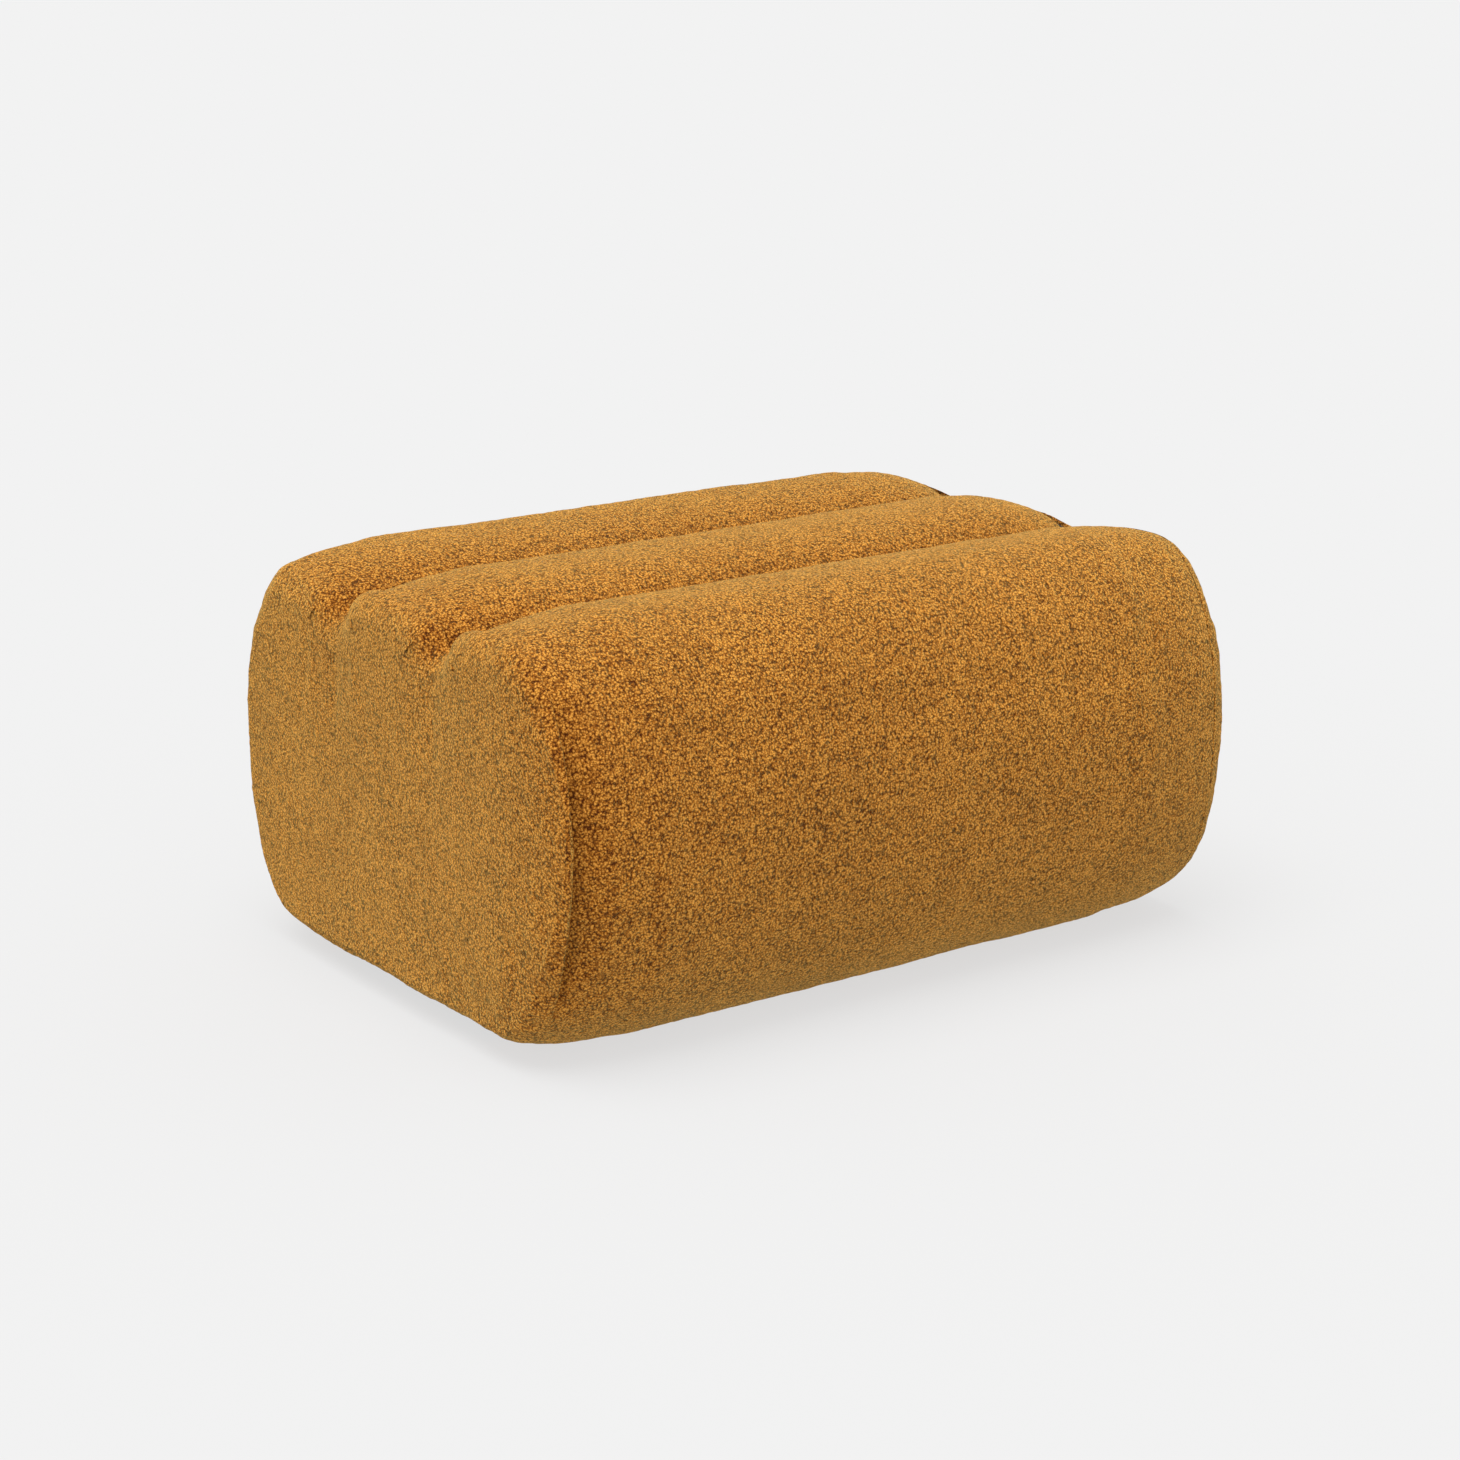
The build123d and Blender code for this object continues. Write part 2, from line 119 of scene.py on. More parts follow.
RIM_FADE = (0.25, HEIGHT - 0.012)  # and over which it runs out again
SEAM_SHIFT = 0.0030  # the front's end seams lie this much further out
SHIFT_RISE = (0.105, 0.125)  # from this far to this far in front of the middle
VALLEY_DEPTH = 0.0200  # how far the front is drawn in beside the left rim
VALLEY_WIDTH = 0.021
VALLEY_EDGE = 0.045  # rounding of an end face's edge where a groove runs out
LOBE_EDGE = 0.017  # and along the lobes between the grooves
LOBE_RISE = (0.27, 0.37)  # heights over which that sets in
END_GROOVE_Z = HEIGHT - 0.0460  # where the grooves stop against the end panels
RECESS_SLOPE = 15 / 24  # of the V-shaped opening above and below the hinge line
RECESS_INSET = 0.006  # it narrows down to lips this far before the hinge line
RECESS_LIP = 0.007  # and this far above and below it
MOUTH_REACH = 0.016  # how far its mouth is rounded off
STEP = 0.0026  # spacing of the covers' vertices


class End:
    """How one end of the body is rounded off.

    The rounding takes up the last shoulder of the length, as a superellipse of this power.
    At the face it has moved the front roll's top down by top, the tops behind it by rear_top,
    the back in by face, the front in by front_face (all over, and more of it low down) and the
    underside up by bottom. valley is the share of VALLEY_DEPTH drawn in beside this end, and
    dome is how far the panel leans in at its front rim.
    """

    def __init__(
        self, side, shoulder, power, top, rear_top, face, front_face, bottom, valley, dome
    ):
        self.side = side
        self.shoulder = shoulder
        self.power = power
        self.top = top
        self.rear_top = rear_top
        self.face = face
        self.front_face = front_face
        self.bottom = bottom
        self.valley = valley
        self.dome = dome

    def share(self, x):
        """Share of the rounding reached at x, from 0 on the straight part to 1 at the face."""
        along = np.clip((np.abs(x) - (LENGTH / 2 - self.shoulder)) / self.shoulder, 0, 1)
        return 1 - (1 - along**self.power) ** (1 / self.power)

    def reach(self, y, z, normal):
        """How far the rounding moves points of the outline in."""
        top = self.top + (self.rear_top - self.top) * smooth(y, *BEHIND_FRONT_ROLL)
        high = smooth(z, BULGE_Z - BULGE_BLEND, BULGE_Z + BULGE_BLEND)
        tall = self.bottom + (top - self.bottom) * high
        low_face = self.front_face[1] * (1 - smooth(z, *LOW_FRONT))
        front_face = self.front_face[0] + low_face
        face = self.face + (front_face - self.face) * smooth(-y, CROWN_Y, CROWN_Y + 0.01)
        return np.hypot(normal[:, 0] * face, normal[:, 1] * tall)


LEFT = End(
    side=-1, shoulder=0.1208, power=1.79, top=0.0240, rear_top=0.0240, face=0.0318,
    front_face=(0.0120, 0.0250), bottom=0.0262, valley=1.0, dome=0.0170,
)
RIGHT = End(
    side=1, shoulder=0.1356, power=2.22, top=0.0340, rear_top=0.0540, face=0.0290,
    front_face=(0.0290, 0.0), bottom=0.0330, valley=0.0, dome=0.0,
)


# ---- Small tools ----


def smooth(value, low, high):
    """0 below low, 1 above high, eased between."""
    t = np.clip((value - low) / (high - low), 0, 1)
    return t * t * (3 - 2 * t)


def bell(value, centre, width):
    """1 at the centre, falling off on both sides."""
    return np.exp(-(((value - centre) / width) ** 2))


def hashed(cells, seed):
    """A repeatable pseudo-random value from 0 to 1 for each integer cell."""
    n = cells.astype(np.int64)
    h = n[:, 0] * 374761393 + n[:, 1] * 668265263 + n[:, 2] * 2147483647 + seed * 1274126177
    h = (h ^ (h >> 13)) * 1103515245
    h = (h ^ (h >> 16)) & 0x7FFFFFFF
    return (h % 100003) / 100003.0


def lumps(points, size, seed=0):
    """Smooth value noise from -1 to 1, with features about size across."""
    q = points / size
    base = np.floor(q)
    t = q - base
    t = t * t * (3 - 2 * t)
    total = np.zeros(len(points))
    for corner in np.ndindex(2, 2, 2):
        c = np.array(corner)
        weight = np.prod(np.where(c == 1, t, 1 - t), axis=1)
        total += weight * hashed(base + c, seed)
    return total * 2 - 1


def make_object(name, points, faces, material, body):
    """A smooth-shaded mesh that rides on a body."""
    mesh = bpy.data.meshes.new(name)
    mesh.from_pydata(points.tolist(), [], faces)
    mesh.validate()
    mesh.polygons.foreach_set("use_smooth", [True] * len(mesh.polygons))
    mesh.materials.append(material)
    piece = bpy.data.objects.new(name, mesh)
    bpy.context.scene.collection.objects.link(piece)
    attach(piece, body)
    return piece


def grid_faces(rows, columns, closed=False, flip=False, start=0):
    """Quads of a grid of rows times columns vertices."""
    r = np.arange(rows - 1)[:, None]
    last = columns if closed else columns - 1
    c = np.arange(last)[None, :]
    nxt = (c + 1) % columns
    a = start + r * columns + c
    b = start + r * columns + nxt
    quads = np.stack([a, b, b + columns, a + columns], axis=-1).reshape(-1, 4)
    return (quads[:, ::-1] if flip else quads).tolist()


def vertex_normals(piece):
    """A piece's vertex normals, one row each."""
    count = len(piece.data.vertices)
    normals = np.zeros(count * 3, np.float32)
    piece.data.vertices.foreach_get("normal", normals)
    return normals.reshape(-1, 3).astype(float)


def positions(piece):
    """A piece's vertices, one row each."""
    count = len(piece.data.vertices)
    co = np.zeros(count * 3, np.float32)
    piece.data.vertices.foreach_get("co", co)
    return co.reshape(-1, 3).astype(float)


def set_positions(piece, points):
    piece.data.vertices.foreach_set("co", points.astype(np.float32).ravel())
    piece.data.update()


# ---- Pile ----
PILE_LAYERS = (  # height and width of the lumps, from the curls down to the padding
    (0.00042, 0.0052),
    (0.00030, 0.013),
    (0.0007, 0.045),
    (0.0009, 0.11),
)
SQUEEZED_PILE = 0.1  # share of that height left where a cover lies flat
SQUEEZED_Z = 0.006  # this far above and below the hinge line


def squeezed(points):
    """Where a cover lies flat between the lid and the box."""
    x, y, z = points.T
    over_box = (y > wall_low.y - 0.001) & (y < HINGE.y - 0.004)
    return over_box & (np.abs(z - HINGE.z) < SQUEEZED_Z) & (np.abs(x) < LIP_X)


def add_pile(piece):
    """Raises the soft lumps of the pile and the unevenness of the padding below it."""
    points = positions(piece)
    height = np.zeros(len(points))
    for seed, (rise, width) in enumerate(PILE_LAYERS, 1):
        height += rise * lumps(points, width, seed)
    height[squeezed(points)] *= SQUEEZED_PILE
    set_positions(piece, points + vertex_normals(piece) * height[:, None])


# ---- Cloth ----
CAGE_POINTS = 7000  # vertices of the coarser copy on which a cover's cloth is simulated
PRESSURE = 4.0
EASE = 0.003  # share by which the cloth is cut larger than the padding below it
FRAMES = 20
CREASE_CAP = 0.0014  # the deepest crease that is kept
HELD_BAND = 0.004  # width of the band that is held along a seam or at the staples
# Rounds of averaging: to drop the noise of single vertices, to find the swelling that is taken
# out again, and to fade the creases towards the seams.
NOISE_ROUNDS, SWELLING_ROUNDS, SEAM_ROUNDS = 3, 60, 12
KEPT_SHARE = 0.4  # what a vertex keeps of its own value in one round


def thinned(piece, target):
    """A coarser copy of a piece, as an object of its own."""
    cage = piece.copy()
    cage.data = piece.data.copy()
    bpy.context.scene.collection.objects.link(cage)
    thin = cage.modifiers.new("thin", "DECIMATE")
    thin.ratio = target / len(piece.data.vertices)
    graph = bpy.context.evaluated_depsgraph_get()
    mesh = bpy.data.meshes.new_from_object(cage.evaluated_get(graph))
    cage.modifiers.clear()
    cage.data = mesh
    return cage


def edge_ends(piece):
    """The two vertices of each of a piece's edges."""
    ends = np.zeros(len(piece.data.edges) * 2, np.int64)
    piece.data.edges.foreach_get("vertices", ends)
    return ends.reshape(-1, 2).T


def evened(values, ends, rounds, held=None):
    """Averages values at vertices with their neighbours; held vertices keep theirs."""
    count = len(values)
    a, b = ends
    degree = np.bincount(a, minlength=count) + np.bincount(b, minlength=count)
    for _ in range(rounds):
        total = np.bincount(a, values[b], count) + np.bincount(b, values[a], count)
        new = KEPT_SHARE * values + (1 - KEPT_SHARE) * total / np.maximum(degree, 1)
        values = new if held is None else np.where(held, values, new)
    return values


def simulated(cage, pinned):
    """Positions of a cage after it was blown up gently as cloth, held where it is pinned."""
    group = cage.vertex_groups.new(name="sewn")
    group.add(np.flatnonzero(pinned).tolist(), 1.0, "REPLACE")
    cloth = cage.modifiers.new("cloth", "CLOTH")
    cloth.settings.vertex_group_mass = "sewn"
    cloth.settings.use_pressure = True
    cloth.settings.uniform_pressure_force = PRESSURE
    cloth.settings.shrink_min = -EASE
    cloth.settings.effector_weights.gravity = 0
    cloth.collision_settings.use_collision = False
    cloth.point_cache.frame_end = FRAMES
    scene = bpy.context.scene
    for number in range(1, FRAMES + 1):
        scene.frame_set(number)
    graph = bpy.context.evaluated_depsgraph_get()
    mesh = bpy.data.meshes.new_from_object(cage.evaluated_get(graph))
    cage.modifiers.clear()
    cage.data = mesh
    scene.frame_set(1)
    return positions(cage)


def settle_cloth(piece, sewn):
    """Creases a cover as cloth held at its seams; sewn tells which points are held.
    Only the creases are kept, so the roll's own form stays."""
    cage = thinned(piece, CAGE_POINTS)
    before, normals, ends = positions(cage), vertex_normals(cage), edge_ends(cage)
    pinned = sewn(before)
    moved = ((simulated(cage, pinned) - before) * normals).sum(1)
    moved = evened(moved, ends, NOISE_ROUNDS)
    crease = moved - evened(moved, ends, SWELLING_ROUNDS)
    slack = evened(1.0 - pinned, ends, SEAM_ROUNDS, pinned)
    crease = CREASE_CAP * np.tanh(crease / CREASE_CAP) * slack
    cage.data.calc_loop_triangles()
    triangles = [tuple(t.vertices) for t in cage.data.loop_triangles]
    tree = BVHTree.FromPolygons(before.tolist(), triangles)
    points = positions(piece)
    hits = [tree.find_nearest(Vector(p)) for p in points]
    corners = np.array(triangles)[[hit[2] for hit in hits]]
    at = np.array([hit[0] for hit in hits])
    a, b, c = (before[corners[:, k]] for k in range(3))
    opposite = ((b, c), (c, a), (a, b))
    areas = [np.linalg.norm(np.cross(q - at, r - at), axis=1) for q, r in opposite]
    weights = np.stack(areas, 1) / (np.sum(areas, axis=0)[:, None] + 1e-15)
    height = (crease[corners] * weights).sum(1)
    set_positions(piece, points + vertex_normals(piece) * height[:, None])
    bpy.data.objects.remove(cage)


# ---- Materials ----


class Nodes:
    """A short way to write a material's node tree."""

    def __init__(self, name):
        self.material = bpy.data.materials.new(name)
        self.material.use_nodes = True
        self.tree = self.material.node_tree
        self.tree.nodes.clear()
        self.output = self.tree.nodes.new("ShaderNodeOutputMaterial")
        self.shader = self.tree.nodes.new("ShaderNodeBsdfPrincipled")
        self.link(self.shader.outputs[0], self.output.inputs["Surface"])
        coordinates = self.tree.nodes.new("ShaderNodeTexCoord")
        self.place = coordinates.outputs["Object"]

    def link(self, source, target):
        self.tree.links.new(source, target)

    def set(self, **values):
        """Values that are the same all over, set on the shader's own sockets."""
        for key, value in values.items():
            self.shader.inputs[key.replace("_", " ")].default_value = value

    def noise(self, scale, detail=3.0, roughness=0.5, distortion=0.0, place=None):
        node = self.tree.nodes.new("ShaderNodeTexNoise")
        node.inputs["Scale"].default_value = scale
        node.inputs["Detail"].default_value = detail
        node.inputs["Roughness"].default_value = roughness
        node.inputs["Distortion"].default_value = distortion
        self.link(place or self.place, node.inputs["Vector"])
        return node.outputs["Fac"]

    def voronoi(self, scale, feature="F1", place=None, smoothness=0.4):
        node = self.tree.nodes.new("ShaderNodeTexVoronoi")
        node.feature = feature
        node.inputs["Scale"].default_value = scale
        if feature == "SMOOTH_F1":
            node.inputs["Smoothness"].default_value = smoothness
        self.link(place or self.place, node.inputs["Vector"])
        return node.outputs["Distance"]

    def maths(self, operation, a, b=0.0):
        node = self.tree.nodes.new("ShaderNodeMath")
        node.operation = operation
        for socket, value in zip(node.inputs, (a, b)):
            if isinstance(value, (int, float)):
                socket.default_value = value
            else:
                self.link(value, socket)
        return node.outputs[0]

    def vector_maths(self, operation, a, b):
        """a is a socket; b is a socket or three values."""
        node = self.tree.nodes.new("ShaderNodeVectorMath")
        node.operation = operation
        self.link(a, node.inputs[0])
        if isinstance(b, tuple):
            node.inputs[1].default_value = b
        else:
            self.link(b, node.inputs[1])
        return node.outputs[0]

    def warp(self, scale, amount):
        """The place, pushed about by noise."""
        node = self.tree.nodes.new("ShaderNodeTexNoise")
        node.inputs["Scale"].default_value = scale
        node.inputs["Detail"].default_value = 1.0
        self.link(self.place, node.inputs["Vector"])
        centred = self.vector_maths("SUBTRACT", node.outputs["Color"], (0.5, 0.5, 0.5))
        scaled = self.vector_maths("MULTIPLY", centred, (amount, amount, amount))
        return self.vector_maths("ADD", self.place, scaled)

    def stretched(self, x, y, z):
        """The place with each axis scaled, for grain and weave."""
        return self.vector_maths("MULTIPLY", self.place, (x, y, z))

    def ramp(self, value, *stops):
        node = self.tree.nodes.new("ShaderNodeValToRGB")
        elements = node.color_ramp.elements
        while len(elements) < len(stops):
            elements.new(0.5)
        for element, (position, colour) in zip(elements, stops):
            element.position = position
            element.color = (*colour, 1.0)
        self.link(value, node.inputs["Fac"])
        return node.outputs["Color"]

    def multiplied(self, a, b):
        """Two colours multiplied."""
        node = self.tree.nodes.new("ShaderNodeMix")
        node.data_type = "RGBA"
        node.blend_type = "MULTIPLY"
        share, first, second = node.inputs[0], node.inputs[6], node.inputs[7]
        share.default_value = 1.0
        self.link(a, first)
        self.link(b, second)
        return node.outputs[2]

    def colour(self, socket):
        self.link(socket, self.shader.inputs["Base Color"])

    def roughness(self, socket):
        self.link(socket, self.shader.inputs["Roughness"])

    def bump(self, height, distance, strength=1.0):
        node = self.tree.nodes.new("ShaderNodeBump")
        node.inputs["Distance"].default_value = distance
        node.inputs["Strength"].default_value = strength
        self.link(height, node.inputs["Height"])
        self.link(node.outputs[0], self.shader.inputs["Normal"])


def boucle_material():
    """Mustard teddy boucle: small looped curls with painted shade darkening the gaps between them,
    and a soft sheen.
    """
    m = Nodes("boucle")
    warped = m.warp(420.0, 0.0023)
    curls = m.voronoi(430.0, "SMOOTH_F1", warped, 0.22)
    strands = m.noise(640.0, 1.5, 0.5, 1.8)
    mounds = m.noise(150.0, 2.0, 0.5, 0.3)
    tip = m.maths("MULTIPLY", m.maths("SUBTRACT", 0.75, curls), 0.60)
    height = m.maths("ADD", tip, m.maths("MULTIPLY", strands, 0.70))
    height = m.maths("ADD", height, m.maths("MULTIPLY", mounds, 0.20))
    # painted shade: the ramp's darkest stop paints the shade down in the gaps between the curls;
    # its lighter stops are the yarn's own mustard
    pile = m.ramp(
        height,
        (0.42, (0.082, 0.017, 0.0014)),
        (0.61, (0.385, 0.127, 0.012)),
        (0.80, (0.880, 0.395, 0.062)),
    )
    patches = m.noise(7.0, 2.0, 0.5)
    shade = m.ramp(patches, (0.30, (0.90, 0.88, 0.86)), (0.70, (1.0, 1.0, 1.0)))
    m.colour(m.multiplied(pile, shade))
    m.set(Roughness=0.95, Specular_IOR_Level=0.10)
    m.set(Sheen_Weight=0.50, Sheen_Roughness=0.28, Sheen_Tint=(1.0, 0.88, 0.27, 1.0))
    m.bump(height, 0.0024)
    return m.material


def foam_material():
    """Open-celled foam, yellowed a little."""
    m = Nodes("foam")
    cells = m.voronoi(900.0)
    m.colour(m.ramp(cells, (0.1, (0.62, 0.56, 0.40)), (0.6, (0.86, 0.82, 0.68))))
    m.set(Roughness=0.9)
    m.bump(cells, 0.0004)
    return m.material


def cloth_material(name, dark, light, threads):
    """A plain woven or felted cloth."""
    m = Nodes(name)
    weave = m.maths(
        "MULTIPLY",
        m.noise(threads, 2.0, 0.6, place=m.stretched(1.0, 0.25, 0.25)),
        m.noise(threads, 2.0, 0.6, place=m.stretched(0.25, 1.0, 1.0)),
    )
    fibres = m.noise(threads * 0.5, 3.0, 0.6, 1.0)
    height = m.maths("ADD", m.maths("MULTIPLY", weave, 2.0), m.maths("MULTIPLY", fibres, 0.5))
    m.colour(m.ramp(height, (0.45, dark), (0.95, light)))
    m.set(Roughness=0.9, Sheen_Weight=0.15, Sheen_Roughness=0.5)
    m.bump(height, 0.0005)
    return m.material


def wood_material(name, dark, light, stretch):
    """Raw timber with growth lines along its length."""
    m = Nodes(name)
    grain_place = m.stretched(*stretch)
    bands = m.noise(60.0, 4.0, 0.6, 0.8, grain_place)
    pores = m.noise(420.0, 2.0, 0.6, 0.0, grain_place)
    height = m.maths("ADD", m.maths("MULTIPLY", bands, 0.75), m.maths("MULTIPLY", pores, 0.25))
    m.colour(m.ramp(height, (0.35, dark), (0.65, light)))
    m.roughness(m.maths("ADD", 0.45, m.maths("MULTIPLY", pores, 0.3)))
    m.bump(height, 0.0004)
    return m.material


def steel_material():
    """Zinc-plated steel, brushed along X."""
    m = Nodes("zinc_steel")
    brushed = m.noise(700.0, 3.0, 0.6, place=m.stretched(0.06, 1.0, 1.0))
    spots = m.noise(90.0, 3.0, 0.6)
    m.colour(m.ramp(spots, (0.35, (0.50, 0.50, 0.48)), (0.7, (0.66, 0.66, 0.65))))
    m.roughness(m.maths("ADD", 0.22, m.maths("MULTIPLY", brushed, 0.25)))
    m.set(Metallic=1.0)
    m.bump(brushed, 0.00005)
    return m.material


def plastic_material(name, colour, lighter, roughness):
    """Moulded plastic or rubber with a fine grain."""
    m = Nodes(name)
    grain = m.noise(1400.0, 2.0, 0.6)
    m.colour(m.ramp(m.noise(60.0, 3.0, 0.6), (0.35, colour), (0.7, lighter)))
    m.roughness(m.maths("ADD", roughness, m.maths("MULTIPLY", grain, 0.2)))
    m.bump(grain, 0.0001)
    return m.material


boucle = boucle_material()
lining = cloth_material("lining", (0.030, 0.024, 0.020), (0.110, 0.092, 0.078), 1500.0)
dust_cloth = cloth_material("dust_cloth", (0.006, 0.006, 0.006), (0.030, 0.030, 0.030), 900.0)
foam = foam_material()
plywood = wood_material("plywood", (0.40, 0.25, 0.12), (0.66, 0.48, 0.28), (0.12, 1.0, 1.0))
rail_wood = wood_material("rail_wood", (0.46, 0.28, 0.12), (0.74, 0.54, 0.30), (0.08, 1.0, 1.0))
steel = steel_material()
glide_plastic = plastic_material(
    "glide_plastic", (0.010, 0.010, 0.010), (0.022, 0.022, 0.021), 0.42
)
rest_rubber = plastic_material(
    "rest_rubber", (0.012, 0.012, 0.012), (0.026, 0.026, 0.025), 0.62
)


# ---- The outline as paths of (y, z, weight, hold), from the front over the top to the back ----
# weight is the share of the end rounding that a point takes; a held point moves in along Y only.


def superquarter(power):
    """Cosine-like and sine-like runs of a superellipse quarter."""
    u = np.linspace(0, math.pi / 2, 400)
    return np.cos(u) ** (2 / power), np.sin(u) ** (2 / power)


def part(y, z, weight, hold=0.0):
    """A piece of a path; z, weight and hold may be single values."""
    y = np.asarray(y, float)
    return np.stack([y, z + 0 * y, weight + 0 * y, hold + 0 * y], 1)


def outer(crest_z):
    """From the flat underside out round the front and up to the crest."""
    c, s = superquarter(LOWER_POWER)
    low = part(-DEPTH / 2 + BOTTOM_RUN * (1 - c), BULGE_Z - (BULGE_Z - UNDERSIDE) * s, 1.0)
    c, s = superquarter(UPPER_POWER)
    run = DEPTH / 2 - CROWN_Y
    high = part(-CROWN_Y - run * c, BULGE_Z + (crest_z - BULGE_Z) * s, 1.0)
    return np.concatenate([low[::-1], high[1:]])


def flank(crest_y, crest_z, groove_y, groove_z=GROOVE_Z):
    """From a roll's crest down into a groove."""
    c, s = superquarter(ROLL_POWER)
    y = crest_y + (groove_y - crest_y) * c
    return part(y, groove_z + (crest_z - groove_z) * s, np.sqrt(s))[::-1]


def mirrored(path):
    """The same path behind the middle."""
    flipped = path[::-1].copy()
    flipped[:, 0] *= -1
    return flipped


def straight(points, weight=0.0, hold=0.0, fillet=0.0):
    """A polyline with rounded corners."""
    corners = [np.array(p, float) for p in points]
    bent = [corners[0]]
    for before, at, after in zip(corners, corners[1:], corners[2:]):
        into = (before - at) / np.linalg.norm(before - at)
        out = (after - at) / np.linalg.norm(after - at)
        for t in np.linspace(0, 1, 7):
            start, end = at + into * fillet, at + out * fillet
            bent.append(start * (1 - t) ** 2 + at * 2 * t * (1 - t) + end * t**2)
    bent.append(corners[-1])
    line = np.array(bent)
    return part(line[:, 0], line[:, 1], weight, hold)


def joined(*parts, step=STEP):
    """One evenly spaced path."""
    path = np.concatenate(parts)
    gaps = np.hypot(*np.diff(path[:, :2], axis=0).T)
    path = path[np.concatenate([[True], gaps > 1e-7])]
    along = np.concatenate([[0], np.cumsum(gaps[gaps > 1e-7])])
    at = np.linspace(0, along[-1], int(round(along[-1] / step)) + 1)
    return np.stack([np.interp(at, along, column) for column in path.T], 1)


def softened(path, corner, reach):
    """Rounds off the corner nearest a point by averaging neighbours."""
    near = np.exp(-((np.hypot(*(path[:, :2] - corner).T) / reach) ** 4))[:, None]
    for _ in range(14):
        average = path.copy()
        average[1:-1] = (path[:-2] + path[1:-1] + path[2:]) / 3
        path = path + (average - path) * near
    return path


def normals_of(path, closed=False):
    """Unit normals to the left of a path."""
    if closed:
        tangent = np.roll(path[:, :2], -1, 0) - np.roll(path[:, :2], 1, 0)
    else:
        tangent = np.gradient(path[:, :2], axis=0)
    normal = np.stack([-tangent[:, 1], tangent[:, 0]], 1)
    return normal / (np.linalg.norm(normal, axis=1)[:, None] + 1e-12)


def edge_radius(path):
    """Extra rounding between an end cover's outline and its flat face."""
    _, z, weight, _ = path.T
    lobes = LOBE_EDGE * smooth(z, *LOBE_RISE) * weight
    return (lobes + VALLEY_EDGE * (1 - weight))[:, None] + CORNER_RADIUS


def sections(path, x, depth, end, closed=False, radius=CORNER_RADIUS):
    """Points of a path at each x (columns), moved in by the end rounding and by depth."""
    y, z, weight, hold = path.T
    normal = normals_of(path, closed)
    reach = end.reach(y, z, normal)
    push_y = (normal[:, 0] * reach) * (1 - hold) + np.sign(y) * end.face * hold
    push_z = (normal[:, 1] * reach) * (1 - hold)
    x = np.broadcast_to(x, (len(path), np.shape(x)[-1]))
    share = end.share(x) * weight[:, None]
    turn = np.clip((np.abs(x) - LENGTH / 2) / radius + 1, 0, 1)
    own = depth + radius * (1 - np.sqrt(1 - turn**2))
    points = np.zeros((*x.shape, 3))
    points[..., 0] = x
    points[..., 1] = y[:, None] - push_y[:, None] * share - normal[:, :1] * own
    points[..., 2] = z[:, None] - push_z[:, None] * share - normal[:, 1:] * own
    return points


def front_share(path):
    """How much of the left rim's deep seam a path point has: most at half height in front."""
    front = smooth(-path[:, 0], CROWN_Y, DEPTH / 2 - 0.03)
    height = smooth(path[:, 1], *RIM_RISE) * (1 - smooth(path[:, 1], *RIM_FADE))
    return front * height


def seam_shift(path):
    """How much further out an end seam lies, which only the front has."""
    return SEAM_SHIFT * smooth(-path[:, 0], *SHIFT_RISE)


def puckers(path, seed):
    """Small uneven gathers along a seam, from -1 to 1."""
    steps = np.hypot(*np.diff(path[:, :2], axis=0, prepend=path[:1, :2]).T)
    along = np.cumsum(steps)
    places = np.stack([along, 0 * along, 0 * along], 1)
    return lumps(places, 0.017, seed) * 0.6 + lumps(places, 0.041, seed + 1) * 0.4


# ---- Covers ----


def swept(path, half, tuck=None):
    """A cover's rows of points, turned in at both end seams."""
    tuck = np.ones(len(path)) if tuck is None else tuck
    deep = front_share(path)
    seam = puckers(path, 11)
    half = half + seam_shift(path)[:, None]
    sides = []
    angles = np.linspace(0, math.pi / 2, 4)
    for end in (LEFT, RIGHT):
        edge = SEAM_EDGE * np.ones(len(path))
        flat = half - edge[:, None]
        steps = np.linspace(0, 1, int(round(COVER_HALF / STEP)) + 1)
        rounding = flat + edge[:, None] * np.sin(angles[1:])
        x = np.concatenate([flat * steps, rounding, half + 0 * flat, half + 0 * flat], axis=1)
        turn = np.concatenate(
            [0 * flat * steps, edge[:, None] * (1 - np.cos(angles[1:])) * tuck[:, None]], axis=1
        )
        last = turn[:, -1:]
        deepest = SEAM_TUCK * tuck[:, None]
        turn = np.concatenate([turn, (last + deepest) / 2, deepest], axis=1)
        gap = half - x
        valley = SEAM_DIP + (VALLEY_DEPTH * end.valley) * deep[:, None]
        valley = valley * np.exp(-((gap / VALLEY_WIDTH) ** 1.4)) * path[:, 2:3]
        gather = (GATHER + ROLL_GATHER * deep[:, None]) * seam[:, None] * np.exp(-gap / 0.014)
        gather = gather * path[:, 2:3]
        sides.append(sections(path, end.side * x, turn + valley + gather, end))
    left, right = sides
    return np.concatenate([left[:, :0:-1], right], axis=1)


